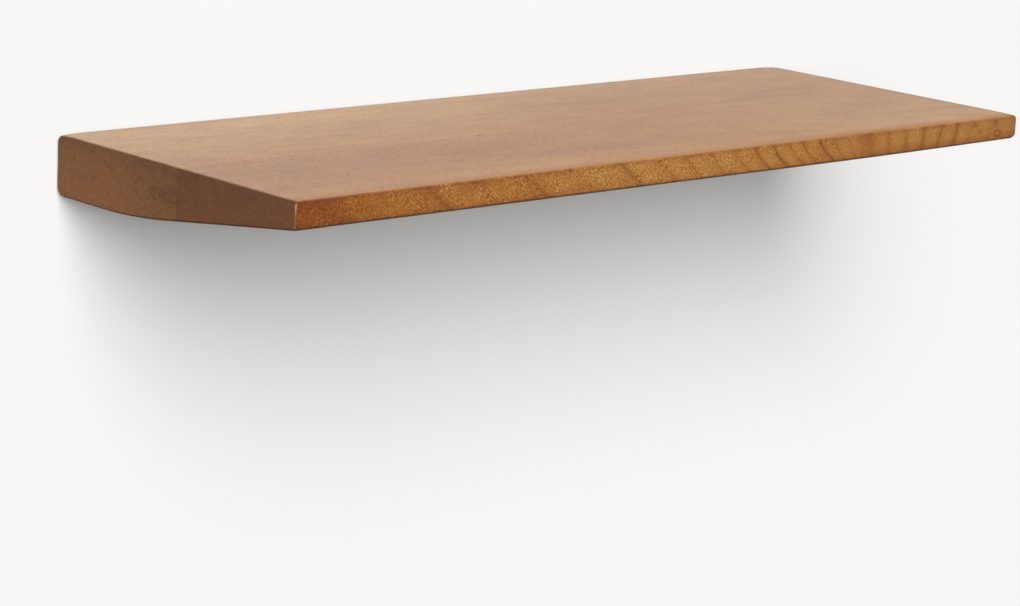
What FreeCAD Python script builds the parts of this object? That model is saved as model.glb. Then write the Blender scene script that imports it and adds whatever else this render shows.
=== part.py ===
import FreeCAD, Part
import math
import os
import re
import Sketcher

# Wall shelf of two edge-glued boards on a hidden steel bracket. X runs along the wall, the wall is the
# plane Y = 0 with the room at -Y, Z is up, and the origin is the middle of the wall plate's back.

# Driving dimensions in millimetres: word in the sheet, value, what it measures.
SIZES = [
    ("shelf_length", 609.6, "shelf along the wall"),
    ("shelf_depth", 228.6, "wall to front edge"),
    ("back_height", 37.3, "thickness at the wall"),
    ("front_height", 16.5, "thickness at the front, to the sharp corner"),
    ("underside_flat", 45.0, "level part of the underside, from the wall"),
    ("bend_radius", 460.0, "soft bend where the underside starts to rise"),
    ("back_top_radius", 5.0, "roundover of the upper back edge"),
    ("back_low_radius", 6.0, "roundover of the lower back edge"),
    ("front_top_radius", 1.8, "roundover of the upper front edge"),
    ("front_low_radius", 2.0, "roundover of the lower front edge"),
    ("end_easing", 1.5, "sanded radius round both ends"),
    ("rear_board_width", 120.0, "wall to the glue joint"),
    ("plate_length", 457.2, "wall plate"),
    ("plate_height", 19.0, "wall plate"),
    ("plate_thickness", 4.8, "wall plate"),
    ("plate_corner", 3.0, "radius of the plate's corners"),
    ("recess_margin", 0.5, "room round the plate in the back of the shelf"),
    ("recess_room", 0.3, "room in front of the plate"),
    ("stud_spacing", 406.4, "outer wall screws, at the spacing of wall studs"),
    ("anchor_spacing", 152.4, "inner wall screws"),
    ("wall_screw_hole", 5.5, "diameter of the wall screws' holes"),
    ("wall_screw_head", 10.5, "diameter of their countersinks"),
    ("wall_screw_angle", 90.0, "angle of their countersinks, in degrees"),
    ("rod_drop", 18.3, "shelf top to the rods' centre line"),
    ("rod_diameter", 12.7, "rod"),
    ("rod_reach", 101.6, "rod in front of the plate"),
    ("rod_spacing", 152.4, "from one rod to the next"),
    ("rod_tip", 1.5, "chamfer of the rod's tip"),
    ("spigot_diameter", 8.0, "turned end of the rod, inside the plate"),
    ("weld_leg", 2.5, "leg of the fillet weld"),
    ("bore_clearance", 0.25, "round the rod in its bore"),
    ("bore_room", 4.0, "beyond the rod's tip"),
    ("drill_point", 118.0, "angle of the drill's point, in degrees"),
    ("mouth_room", 0.7, "round the weld in the mouth of the bore"),
    ("lock_inset", 25.0, "wall to the locking screws"),
    ("insert_diameter", 8.5, "brass insert"),
    ("insert_length", 9.0, "brass insert"),
    ("insert_lead", 0.6, "chamfer of the insert's upper end"),
    ("insert_sink", 0.5, "insert below flush with the underside"),
    ("screw_diameter", 6.0, "locking screw"),
    ("screw_length", 10.0, "locking screw"),
    ("screw_tip", 1.0, "chamfer of the locking screw's tip"),
    ("screw_rim", 0.4, "chamfer of the locking screw's outer end"),
    ("socket_flats", 3.0, "hexagon socket, across flats"),
    ("socket_depth", 3.5, "hexagon socket"),
    ("screw_seat", 0.2, "gap between locking screw and rod"),
    ("fit_gap", 0.05, "radial gap of pieces that are fixed in each other"),
    ("overrun", 10.0, "how far cuts run past a face"),
]
VALUES = {word: value for word, value, note in SIZES}

# Where the rods stand along the wall, and which of them have a locking screw below.
RODS = {"left": "-rod_spacing", "middle": "0", "right": "rod_spacing"}
LOCKED_RODS = ("left", "right")

FULL_TURN = 360
HEXAGON = 6
SAME_PLACE = 1e-4

# A sketch counts the start, end and centre of its geometry from 1, and its own two axes down from -1.
SKETCH_START, SKETCH_END, SKETCH_CENTRE = range(1, 4)
AXIS_OF_ZERO_X, AXIS_OF_ZERO_Y = range(-2, 0)
ORIGIN_POINT = (AXIS_OF_ZERO_Y, SKETCH_START)

doc = FreeCAD.newDocument("wall_shelf")
sheet = doc.addObject("Spreadsheet::Sheet", "sizes")
for row, (word, value, note) in enumerate(SIZES, start=1):
    sheet.set(f"A{row}", note)
    sheet.set(f"B{row}", str(value))
    sheet.setAlias(f"B{row}", word)
doc.recompute()


def formula(text):
    """The text with each size's word changed to its cell in the sheet."""
    return re.sub(r"[a-z_]+", lambda m: "sizes." + m[0] if m[0] in VALUES else m[0], text)


def number(text):
    """What a formula comes to now."""
    result = sheet.evalExpression(formula(text))
    return float(getattr(result, "Value", result))


def bind(thing, path, text):
    """Ties one property of an object to a formula in the sheet's words."""
    thing.setExpression(path, formula(text))


def new_body(name, places=None):
    """A sub-part with its own label, moved by formulas such as {"x": "rod_spacing"}."""
    body = doc.addObject("PartDesign::Body", name)
    body.Label = name
    for axis, text in (places or {}).items():
        bind(body, f"Placement.Base.{axis}", text)
    return body


def origin_feature(body, role):
    """One of the body's own origin planes or axes."""
    return next(feature for feature in body.Origin.OriginFeatures if feature.Role == role)


def new_sketch(body, name, plane, offsets=None):
    """A sketch on one of the body's origin planes, shifted in it by formulas."""
    sketch = body.newObject("Sketcher::SketchObject", name)
    sketch.AttachmentSupport = [(origin_feature(body, plane), "")]
    sketch.MapMode = "FlatFace"
    for axis, text in (offsets or {}).items():
        bind(sketch, f"AttachmentOffset.Base.{axis}", text)
    return sketch


def constrain(sketch, kind, first, second, text):
    """Adds a distance between two sketch points, each (geometry, point), that follows a formula."""
    index = sketch.addConstraint(Sketcher.Constraint(kind, *first, *second, number(text)))
    bind(sketch, f"Constraints[{index}]", text)


def hold_point(sketch, point, x_text, y_text):
    """Holds a sketch point at two formulas measured from the sketch's origin."""
    for kind, text, axis in (("DistanceX", x_text, AXIS_OF_ZERO_X), ("DistanceY", y_text, AXIS_OF_ZERO_Y)):
        if text == "0":
            sketch.addConstraint(Sketcher.Constraint("PointOnObject", *point, axis))
        else:
            constrain(sketch, kind, ORIGIN_POINT, point, text)


def hold_radius(sketch, index, text, kind="Radius"):
    """Sets the radius or diameter of an arc or circle by a formula."""
    rule = sketch.addConstraint(Sketcher.Constraint(kind, index, number(text)))
    bind(sketch, f"Constraints[{rule}]", text)


def draw_polygon(sketch, corners):
    """Straight lines through corners, each a pair of formulas, and back to the first."""
    places = [FreeCAD.Vector(number(x), number(y), 0) for x, y in corners]
    count = len(places)
    for k in range(count):
        sketch.addGeometry(Part.LineSegment(places[k], places[(k + 1) % count]), False)
    for k in range(count):
        following = (k + 1) % count
        sketch.addConstraint(Sketcher.Constraint("Coincident", k, SKETCH_END, following, SKETCH_START))
    for k, (x_text, y_text) in enumerate(corners):
        hold_point(sketch, (k, SKETCH_START), x_text, y_text)


def draw_circles(sketch, centres, diameter_text):
    """Equal circles at pairs of formulas."""
    for x_text, y_text in centres:
        centre = FreeCAD.Vector(number(x_text), number(y_text), 0)
        circle = Part.Circle(centre, FreeCAD.Vector(0, 0, 1), number(diameter_text) / 2)
        index = sketch.addGeometry(circle, False)
        hold_point(sketch, (index, SKETCH_CENTRE), x_text, y_text)
        hold_radius(sketch, index, diameter_text, "Diameter")


def arc_between(centre, radius, start_degrees, end_degrees):
    """An arc that runs anticlockwise."""
    circle = Part.Circle(centre, FreeCAD.Vector(0, 0, 1), radius)
    return Part.ArcOfCircle(circle, math.radians(start_degrees), math.radians(end_degrees))


def chain_tangent(sketch, count):
    """Joins geometry 0 to count - 1 end to start, each tangent to the next, and closes the loop."""
    for k in range(count):
        following = (k + 1) % count
        sketch.addConstraint(Sketcher.Constraint("Tangent", k, SKETCH_END, following, SKETCH_START))


def draw_rounded_rectangle(sketch, width_text, height_text, radius_text):
    """A rectangle round the sketch's origin with four equal corner arcs."""
    half_width = number(width_text) / 2
    half_height = number(height_text) / 2
    radius = number(radius_text)
    inner_x = half_width - radius
    inner_y = half_height - radius
    vector = FreeCAD.Vector
    pieces = [
        Part.LineSegment(vector(half_width, -inner_y, 0), vector(half_width, inner_y, 0)),
        arc_between(vector(inner_x, inner_y, 0), radius, 0, 90),
        Part.LineSegment(vector(inner_x, half_height, 0), vector(-inner_x, half_height, 0)),
        arc_between(vector(-inner_x, inner_y, 0), radius, 90, 180),
        Part.LineSegment(vector(-half_width, inner_y, 0), vector(-half_width, -inner_y, 0)),
        arc_between(vector(-inner_x, -inner_y, 0), radius, 180, 270),
        Part.LineSegment(vector(-inner_x, -half_height, 0), vector(inner_x, -half_height, 0)),
        arc_between(vector(inner_x, -inner_y, 0), radius, 270, 360),
    ]
    right, first_arc, top, second_arc, left, third_arc, bottom, fourth_arc = range(len(pieces))
    for piece in pieces:
        sketch.addGeometry(piece, False)
    chain_tangent(sketch, len(pieces))
    for line in (right, left):
        sketch.addConstraint(Sketcher.Constraint("Vertical", line))
    for line in (top, bottom):
        sketch.addConstraint(Sketcher.Constraint("Horizontal", line))
    for arc in (second_arc, third_arc, fourth_arc):
        sketch.addConstraint(Sketcher.Constraint("Equal", first_arc, arc))
    hold_radius(sketch, first_arc, radius_text)
    constrain(sketch, "DistanceX", ORIGIN_POINT, (right, SKETCH_START), f"({width_text}) / 2")
    constrain(sketch, "DistanceX", (left, SKETCH_START), ORIGIN_POINT, f"({width_text}) / 2")
    constrain(sketch, "DistanceY", ORIGIN_POINT, (top, SKETCH_START), f"({height_text}) / 2")
    constrain(sketch, "DistanceY", (bottom, SKETCH_START), ORIGIN_POINT, f"({height_text}) / 2")


def cut(body, feature):
    """Recomputes after a cut and makes sure that it took wood or steel away."""
    before = feature.BaseFeature.Shape.Volume
    doc.recompute()
    if feature.Shape.isNull() or not feature.Shape.Volume < before:
        raise ValueError(f"{feature.Name} of {body.Label} cuts nothing")
    return feature


def pad(body, name, sketch, length_text, both_ways=False):
    """Raises a sketch by a length, along its normal or half of it to each side."""
    feature = body.newObject("PartDesign::Pad", name)
    feature.Profile = sketch
    bind(feature, "Length", length_text)
    feature.SideType = "Symmetric" if both_ways else "One side"
    doc.recompute()
    return feature


def pocket(body, name, sketch, depth_text=None, reversed_way=False, both_ways=False):
    """Cuts a sketch to a depth, or right through where no depth is given."""
    feature = body.newObject("PartDesign::Pocket", name)
    feature.Profile = sketch
    feature.SideType = "Symmetric" if both_ways else "One side"
    feature.Reversed = reversed_way
    if depth_text is None:
        feature.Type = "ThroughAll"
    else:
        bind(feature, "Length", depth_text)
    return cut(body, feature)


def revolve(body, name, sketch, kind="Revolution"):
    """Turns a sketch a full turn about its own vertical axis, as a solid or as a cut."""
    feature = body.newObject(f"PartDesign::{kind}", name)
    feature.Profile = sketch
    feature.ReferenceAxis = (sketch, ["V_Axis"])
    feature.Angle = FULL_TURN
    if kind == "Groove":
        return cut(body, feature)
    doc.recompute()
    return feature


def slab_outline(body):
    """The shelf's end profile: level top, round back, level underside, soft bend and a straight taper."""
    sketch = new_sketch(body, "profile", "YZ_Plane")
    depth, top = VALUES["shelf_depth"], VALUES["rod_drop"]
    back, front = VALUES["back_height"], VALUES["front_height"]
    flat, bend = VALUES["underside_flat"], VALUES["bend_radius"]
    back_top, back_low = VALUES["back_top_radius"], VALUES["back_low_radius"]
    front_top, front_low = VALUES["front_top_radius"], VALUES["front_low_radius"]
    # The taper leaves the bend at an angle a and meets the front corner. With run = depth - flat this says
    # bend * (1 - cos a) + (run - bend * sin a) * tan a = back - front, solved for the half angle's tangent.
    run, rise = depth - flat, back - front
    half_tangent = (run - math.sqrt(run**2 - rise * (2 * bend - rise))) / (2 * bend - rise)
    angle = 2 * math.atan(half_tangent)
    vector = FreeCAD.Vector
    low = top - back
    bend_end = vector(-flat - bend * math.sin(angle), low + bend * (1 - math.cos(angle)), 0)
    corner = vector(-depth, top - front, 0)
    inset = front_low * math.tan(math.pi / 4 - angle / 2)
    low_centre = vector(-depth + front_low, corner.y + inset, 0)
    low_end = corner + vector(math.cos(angle), -math.sin(angle), 0) * inset
    slope = math.degrees(angle)
    pieces = [
        Part.LineSegment(vector(0, low + back_low, 0), vector(0, top - back_top, 0)),
        arc_between(vector(-back_top, top - back_top, 0), back_top, 0, 90),
        Part.LineSegment(vector(-back_top, top, 0), vector(-depth + front_top, top, 0)),
        arc_between(vector(-depth + front_top, top - front_top, 0), front_top, 90, 180),
        Part.LineSegment(vector(-depth, top - front_top, 0), vector(-depth, low_centre.y, 0)),
        arc_between(low_centre, front_low, 180, 270 - slope),
        Part.LineSegment(low_end, bend_end),
        arc_between(vector(-flat, low + bend, 0), bend, 270 - slope, 270),
        Part.LineSegment(vector(-flat, low, 0), vector(-back_low, low, 0)),
        arc_between(vector(-back_low, low + back_low, 0), back_low, 270, 360),
    ]
    wall, upper_back, level_top, upper_front, face = range(5)
    lower_front, taper, soft_bend, level, lower_back = range(5, len(pieces))
    for piece in pieces:
        sketch.addGeometry(piece, False)
    sharp = sketch.addGeometry(Part.Point(corner), True)
    chain_tangent(sketch, len(pieces))
    for line in (wall, face):
        sketch.addConstraint(Sketcher.Constraint("Vertical", line))
    for line in (level_top, level):
        sketch.addConstraint(Sketcher.Constraint("Horizontal", line))
    for line in (face, taper):
        sketch.addConstraint(Sketcher.Constraint("PointOnObject", sharp, SKETCH_START, line))
    hold_radius(sketch, upper_back, "back_top_radius")
    hold_radius(sketch, upper_front, "front_top_radius")
    hold_radius(sketch, lower_front, "front_low_radius")
    hold_radius(sketch, soft_bend, "bend_radius")
    hold_radius(sketch, lower_back, "back_low_radius")
    sketch.addConstraint(Sketcher.Constraint("PointOnObject", wall, SKETCH_START, AXIS_OF_ZERO_X))
    constrain(sketch, "DistanceY", ORIGIN_POINT, (level_top, SKETCH_START), "rod_drop")
    constrain(sketch, "DistanceY", (level, SKETCH_START), (level_top, SKETCH_START), "back_height")
    constrain(sketch, "DistanceX", (face, SKETCH_START), ORIGIN_POINT, "shelf_depth")
    constrain(sketch, "DistanceY", (sharp, SKETCH_START), (level_top, SKETCH_END), "front_height")
    constrain(sketch, "DistanceX", (level, SKETCH_START), ORIGIN_POINT, "underside_flat")
    return sketch


def shelf_board(name, cut_from, cut_to):
    """A board of the shelf: the whole profile, less what the other board takes, with eased ends."""
    body = new_body(name)
    pad(body, "slab", slab_outline(body), "shelf_length", both_ways=True)
    other = new_sketch(body, "other_board", "XY_Plane")
    side = "(shelf_length / 2 + overrun)"
    draw_polygon(other, [("-" + side, cut_from), (side, cut_from), (side, cut_to), ("-" + side, cut_to)])
    joined = pocket(body, "glue_joint", other, both_ways=True)
    half = VALUES["shelf_length"] / 2
    joint = -VALUES["rear_board_width"]
    edges = []
    for k, edge in enumerate(joined.Shape.Edges, start=1):
        points = [vertex.Point for vertex in edge.Vertexes]
        at_end = all(abs(abs(point.x) - half) < SAME_PLACE for point in points)
        along_end = abs(points[0].x - points[-1].x) < SAME_PLACE
        in_joint = all(abs(point.y - joint) < SAME_PLACE for point in points)
        if at_end and along_end and not in_joint:
            edges.append(f"Edge{k}")
    easing = body.newObject("PartDesign::Fillet", "eased_ends")
    easing.Base = (joined, edges)
    bind(easing, "Radius", "end_easing")
    return cut(body, easing)


def build_rear_board():
    """The thick board at the wall, with the plate's recess, three blind bores and two insert holes."""
    easing = shelf_board("rear_board", "-rear_board_width", "-(shelf_depth + overrun)")
    body = easing.getParent()
    recess = new_sketch(body, "recess_outline", "XZ_Plane")
    corner = "plate_corner + recess_margin"
    width, height = (f"{size} + 2 * recess_margin" for size in ("plate_length", "plate_height"))
    draw_rounded_rectangle(recess, width, height, corner)
    pocket(body, "plate_recess", recess, "plate_thickness + recess_room", reversed_way=True)
    # The bore's section, in the plane of the rods: mouth that clears the weld, straight wall, drill point.
    bore = new_sketch(body, "bore_section", "XY_Plane", {"x": RODS["left"]})
    floor = "-(plate_thickness + recess_room)"
    wall_radius = "rod_diameter / 2 + bore_clearance"
    mouth_radius = "rod_diameter / 2 + weld_leg + mouth_room"
    mouth_depth = "(weld_leg + mouth_room - bore_clearance)"
    end = "-(plate_thickness + rod_reach + bore_room)"
    draw_polygon(bore, [
        ("0", floor + " + recess_room"),
        (mouth_radius, floor + " + recess_room"),
        (mouth_radius, floor),
        (wall_radius, f"{floor} - {mouth_depth}"),
        (wall_radius, end),
        ("0", f"{end} - ({wall_radius}) / tan(drill_point / 2 * 1deg)"),
    ])
    bored = revolve(body, "rod_bore", bore, "Groove")
    row = body.newObject("PartDesign::LinearPattern", "rod_bores")
    row.Originals = [bored]
    row.Direction = (origin_feature(body, "X_Axis"), [""])
    bind(row, "Length", "2 * rod_spacing")
    row.Occurrences = len(RODS)
    body.Tip = row
    doc.recompute()
    if not row.Shape.Volume < bored.Shape.Volume:
        raise ValueError("the row of bores cuts nothing")
    holes = new_sketch(body, "insert_holes", "XY_Plane")
    centres = [(RODS[side], "-lock_inset") for side in LOCKED_RODS]
    draw_circles(holes, centres, "insert_diameter + 2 * fit_gap")
    pocket(body, "insert_bores", holes)
    return body


def build_front_board():
    """The thin board at the front."""
    return shelf_board("front_board", "-rear_board_width", "overrun").getParent()


def build_wall_plate():
    """Flat bar with countersunk holes for wall screws and plain holes for the rods' turned ends."""
    body = new_body("wall_plate")
    outline = new_sketch(body, "plate_outline", "XZ_Plane")
    draw_rounded_rectangle(outline, "plate_length", "plate_height", "plate_corner")
    pad(body, "flat_bar", outline, "plate_thickness")
    spigots = new_sketch(body, "spigot_holes", "XZ_Plane")
    centres = [(place, "0") for place in RODS.values()]
    draw_circles(spigots, centres, "spigot_diameter + 2 * fit_gap")
    pocket(body, "rod_holes", spigots, both_ways=True)
    screws = new_sketch(body, "screw_holes", "XZ_Plane", {"z": "plate_thickness"})
    pairs = ("stud_spacing", "anchor_spacing")
    places = [(f"{sign}{spacing} / 2", "0") for spacing in pairs for sign in ("-", "")]
    draw_circles(screws, places, "wall_screw_hole")
    doc.recompute()
    holes = body.newObject("PartDesign::Hole", "countersunk_holes")
    holes.Profile = screws
    doc.recompute()
    holes.DepthType = "ThroughAll"
    holes.HoleCutType = "Countersink"
    bind(holes, "Diameter", "wall_screw_hole")
    bind(holes, "HoleCutDiameter", "wall_screw_head")
    bind(holes, "HoleCutCountersinkAngle", "wall_screw_angle")
    cut(body, holes)
    return body


def build_rod(name, place):
    """Round rod with a turned end that fills its hole in the plate, and a chamfered tip."""
    body = new_body(name, {"x": place})
    section = new_sketch(body, "rod_section", "XY_Plane")
    tip = "-(plate_thickness + rod_reach)"
    draw_polygon(section, [
        ("0", "0"),
        ("spigot_diameter / 2", "0"),
        ("spigot_diameter / 2", "-plate_thickness"),
        ("rod_diameter / 2", "-plate_thickness"),
        ("rod_diameter / 2", tip + " + rod_tip"),
        ("rod_diameter / 2 - rod_tip", tip),
        ("0", tip),
    ])
    revolve(body, "turned_rod", section)
    return body


def build_weld(name, place):
    """Fillet weld between a rod's shoulder and the plate's face."""
    body = new_body(name, {"x": place})
    section = new_sketch(body, "weld_section", "XY_Plane")
    inside = "rod_diameter / 2 + fit_gap"
    draw_polygon(section, [
        (inside, "-plate_thickness"),
        ("rod_diameter / 2 + weld_leg", "-plate_thickness"),
        (inside, "-(plate_thickness + weld_leg)"),
    ])
    revolve(body, "weld_bead", section)
    return body


def build_lock_insert(name, place):
    """Threaded brass insert, here with a plain bore, pressed into the underside below a rod."""
    underside = "rod_drop - back_height"
    body = new_body(name, {"x": place, "y": "-lock_inset", "z": underside + " + insert_sink"})
    section = new_sketch(body, "insert_section", "XZ_Plane")
    inside = "screw_diameter / 2 + fit_gap"
    draw_polygon(section, [
        (inside, "0"),
        ("insert_diameter / 2", "0"),
        ("insert_diameter / 2", "insert_length - insert_lead"),
        ("insert_diameter / 2 - insert_lead", "insert_length"),
        (inside, "insert_length"),
    ])
    revolve(body, "turned_insert", section)
    return body


def build_lock_screw(name, place):
    """Set screw whose tip stands just under the rod, with a hexagon socket in its lower end."""
    low_end = "-(rod_diameter / 2 + screw_seat + screw_length)"
    body = new_body(name, {"x": place, "y": "-lock_inset", "z": low_end})
    section = new_sketch(body, "screw_section", "XZ_Plane")
    draw_polygon(section, [
        ("0", "0"),
        ("screw_diameter / 2 - screw_rim", "0"),
        ("screw_diameter / 2", "screw_rim"),
        ("screw_diameter / 2", "screw_length - screw_tip"),
        ("screw_diameter / 2 - screw_tip", "screw_length"),
        ("0", "screw_length"),
    ])
    revolve(body, "turned_screw", section)
    socket = new_sketch(body, "socket_outline", "XY_Plane")
    reach = "(socket_flats / 2 / cos(30deg))"
    turns = [f"{60 * k}deg" for k in range(HEXAGON)]
    draw_polygon(socket, [(f"{reach} * cos({turn})", f"{reach} * sin({turn})") for turn in turns])
    pocket(body, "hexagon_socket", socket, "socket_depth", reversed_way=True)
    return body


def build_all():
    """Every sub-part, in the order in which a maker would lay them out."""
    bodies = [build_rear_board(), build_front_board(), build_wall_plate()]
    for side, place in RODS.items():
        bodies.append(build_rod(f"rod_{side}", place))
        bodies.append(build_weld(f"weld_{side}", place))
    for side in LOCKED_RODS:
        bodies.append(build_lock_insert(f"lock_insert_{side}", RODS[side]))
        bodies.append(build_lock_screw(f"lock_screw_{side}", RODS[side]))
    return bodies


def export(bodies):
    """Checks every object and sub-part, then writes one file for each sub-part."""
    doc.recompute()
    for thing in doc.Objects:
        if {"Invalid", "Error"} & set(thing.State):
            raise ValueError(f"{thing.Name} is in state {thing.State}")
    for body in bodies:
        if body.Shape.isNull() or not body.Shape.isValid() or len(body.Shape.Solids) != 1:
            raise ValueError(f"{body.Label} isn't one valid solid")
    os.makedirs("parts", exist_ok=True)
    for body in bodies:
        body.Shape.exportStep(f"parts/{body.Label}.step")
        box = body.Shape.BoundBox
        print(body.Label, "volume", round(body.Shape.Volume, 1), "box", box)


export(build_all())
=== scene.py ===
"""Wall shelf of two edge-glued boards on a hidden steel bracket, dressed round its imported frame.

X runs along the wall, the wall is the plane Y = 0 with the room at -Y, and Z is up. Sizes are in metres.
"""
import math

import bmesh
import bpy
import numpy as np
from bpy.props import FloatProperty, FloatVectorProperty, IntProperty, PointerProperty
from mathutils import Matrix, Vector


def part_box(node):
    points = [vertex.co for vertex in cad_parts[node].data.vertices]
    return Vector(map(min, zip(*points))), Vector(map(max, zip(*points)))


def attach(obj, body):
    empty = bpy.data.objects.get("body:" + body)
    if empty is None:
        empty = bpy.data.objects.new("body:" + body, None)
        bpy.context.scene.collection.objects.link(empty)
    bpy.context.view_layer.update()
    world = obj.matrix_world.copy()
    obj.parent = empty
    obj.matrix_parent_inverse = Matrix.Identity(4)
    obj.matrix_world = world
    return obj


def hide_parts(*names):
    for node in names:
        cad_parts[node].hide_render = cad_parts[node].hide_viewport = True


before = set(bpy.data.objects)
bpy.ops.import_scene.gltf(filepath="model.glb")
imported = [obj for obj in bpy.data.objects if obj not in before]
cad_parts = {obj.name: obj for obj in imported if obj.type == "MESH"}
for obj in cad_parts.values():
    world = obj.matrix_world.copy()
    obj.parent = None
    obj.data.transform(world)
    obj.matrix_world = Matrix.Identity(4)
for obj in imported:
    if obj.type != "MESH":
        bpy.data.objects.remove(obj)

bl_info = {
    "name": "Tapered Wall Shelf",
    "version": (1, 0, 0),
    "blender": (4, 5, 0),
    "location": "3D View > Sidebar > Shelf",
    "description": "Builds a solid wood wall shelf and its hidden steel bracket",
    "category": "Add Mesh",
}

MM = 0.001
SHARP_ANGLE = math.radians(32)
FROM_WALL, UPWARDS = (0, -1, 0), (0, 0, 1)
THREAD_STEPS = 72
OIL_IOR = 1.42
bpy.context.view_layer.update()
REAR_LOW, REAR_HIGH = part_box("rear_board")
FRONT_LOW, FRONT_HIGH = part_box("front_board")
PLATE_LOW, PLATE_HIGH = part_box("wall_plate")
ROD_LOW, ROD_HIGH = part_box("rod_middle")


def size(name, text, default, low=0):
    """A length that a user may change."""
    return FloatProperty(name=name, description=text, default=default, min=low, unit="LENGTH", precision=5)


def share(name, text, default):
    """A plain number that a user may change."""
    return FloatProperty(name=name, description=text, default=default)


def angle(name, text, degrees):
    """An angle that a user may change."""
    return FloatProperty(name=name, description=text, default=math.radians(degrees), subtype="ANGLE")


def colour(name, text, default):
    """A linear colour that a user may change."""
    return FloatVectorProperty(
        name=name, description=text, default=default, size=3, min=0, max=1, subtype="COLOR")


class ShelfBoardSizes(bpy.types.PropertyGroup):
    """Sizes of the two boards."""

    length: size("Length", "Shelf along the wall", REAR_HIGH.x - REAR_LOW.x)
    depth: size("Depth", "Wall to front edge", -FRONT_LOW.y)
    joint: size("Glue joint", "Wall to the joint between the boards", -REAR_LOW.y)
    top: size("Top", "Level top above the rods' centre line", REAR_HIGH.z)
    back_height: size("Back height", "Thickness at the wall", REAR_HIGH.z - REAR_LOW.z)
    front_height: size("Front height", "Thickness at the front", 16.5 * MM)
    level: size("Level underside", "Level part of the underside, from the wall", 45 * MM)
    bend: size("Bend radius", "Soft bend where the underside starts to rise", 460 * MM)
    back_top: size("Upper back radius", "Roundover of the upper back edge", 5 * MM)
    back_low: size("Lower back radius", "Roundover of the lower back edge", 6 * MM)
    front_top: size("Upper front radius", "Roundover of the upper front edge", 1.8 * MM)
    front_low: size("Lower front radius", "Roundover of the lower front edge", 2 * MM)
    easing: size("End easing", "Sanded radius round both ends", 1.5 * MM)
    right_top: size("Upper right corner", "Sanded radius of the upper front corner at the right", 3 * MM)
    right_low: size("Lower right corner", "Sanded radius of the lower front corner at the right", 4.5 * MM)
    left_top: size("Upper left corner", "Sanded radius of the upper front corner at the left", 2 * MM)
    left_low: size("Lower left corner", "Sanded radius of the lower front corner at the left", 0.6 * MM)
    corner_reach: size("Corner reach", "How far back these radii go", 7 * MM)
    back_dip: size("Back corner dip", "How far sanding took the upper back corners down", 0.8 * MM)
    back_reach: size("Back corner reach", "Width of that dip both ways", 7 * MM)
    end_lift: size("End lift", "Rise of the lower front edge towards the right end", 1.15 * MM)
    end_lift_run: size("End lift run", "Length of that rise", 170 * MM)


class ShelfBracketSizes(bpy.types.PropertyGroup):
    """Sizes of the bores and of the hardware in them."""

    rod_spacing: size("Rod spacing", "From one rod to the next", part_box("rod_right")[1].x - ROD_HIGH.x)
    rod_radius: size("Rod radius", "Half of the rod's diameter", ROD_HIGH.x)
    rod_tip: size("Rod tip", "Wall to the rod's tip", -ROD_LOW.y)
    rod_chamfer: size("Rod chamfer", "Chamfer of the rod's tip", 1.5 * MM)
    spigot_radius: size("Spigot radius", "Turned end of the rod, inside the plate", 4 * MM)
    weld_leg: size("Weld leg", "Width of the fillet weld on the plate and on the rod", 2.5 * MM)
    weld_scales: IntProperty(name="Weld scales", description="Scales round a rod", default=20, min=4)
    plate_thickness: size("Plate thickness", "Wall plate", -PLATE_LOW.y)
    plate_corner: size("Plate corner", "Radius of the plate's corners", 3 * MM)
    stud_spacing: size("Stud spacing", "Outer wall screws", 406.4 * MM)
    anchor_spacing: size("Anchor spacing", "Inner wall screws", 152.4 * MM)
    screw_hole: size("Wall screw hole radius", "Holes in the plate", 2.75 * MM)
    screw_head: size("Wall screw head radius", "Their countersinks", 5.25 * MM)
    recess_margin: size("Recess margin", "Room round the plate", 0.5 * MM)
    recess_room: size("Recess room", "Room in front of the plate", 0.3 * MM)
    bore_clearance: size("Bore clearance", "Round the rod in its bore", 0.25 * MM)
    bore_room: size("Bore room", "Beyond the rod's tip", 4 * MM)
    drill_point: angle("Drill point", "Angle of the bore's pointed end", 118)
    mouth_radius: size("Mouth radius", "Bore at the recess floor, round the weld", 9.55 * MM)
    lock_inset: size("Locking screw inset", "Wall to its middle", -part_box("lock_screw_left")[0].y - 3 * MM)
    insert_hole: size("Insert hole radius", "Hole for the brass insert", 4.3 * MM)
    hole_chamfer: size("Hole chamfer", "Chamfer at the mouth of the insert's hole", 0.4 * MM)
    insert_radius: size("Insert radius", "Brass insert",
                        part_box("lock_insert_right")[1].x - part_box("rod_right")[1].x + ROD_HIGH.x)
    lock_radius: size("Locking screw radius", "Thread's crests", 3 * MM)
    lock_pitch: size("Locking screw pitch", "One turn of its thread", 1 * MM)
    thread_depth: size("Thread depth", "From crest to root", 0.55 * MM)
    fit_gap: size("Fit gap", "Room between the threads", 0.05 * MM)
    socket_flats: size("Socket", "Hexagon socket across its flats", 3 * MM)
    socket_depth: size("Socket depth", "Hexagon socket", 3.5 * MM)


class ShelfWoodLook(bpy.types.PropertyGroup):
    """Colours of the oiled wood. A long face shows bare wood through as much stain as its figure asks for."""

    bare: colour("Bare wood", "Wood without its stain", (0.975, 0.785, 0.375))
    stain: colour("Stain", "What one depth of the stain lets through", (0.426, 0.251, 0.143))
    edge: colour("Edge tint", "What one depth of the oil lets through as well", (0.97, 0.90, 0.70))
    rear_end: colour("Rear board's end", "End grain of the rear board", (0.226, 0.0885, 0.0268))
    front_end: colour("Front board's end", "End grain of the front board", (0.175, 0.0618, 0.0172))
    # Painted highlight on the upright front arrises: a light colour that stands in for light they catch.
    arris_highlight: colour("Worn arris", "Upright front arris, rubbed thin by handling", (0.56, 0.32, 0.18))
    raw: colour("Raw wood", "Unfinished wood in the recess and the bores", (0.56, 0.36, 0.19))


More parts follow.
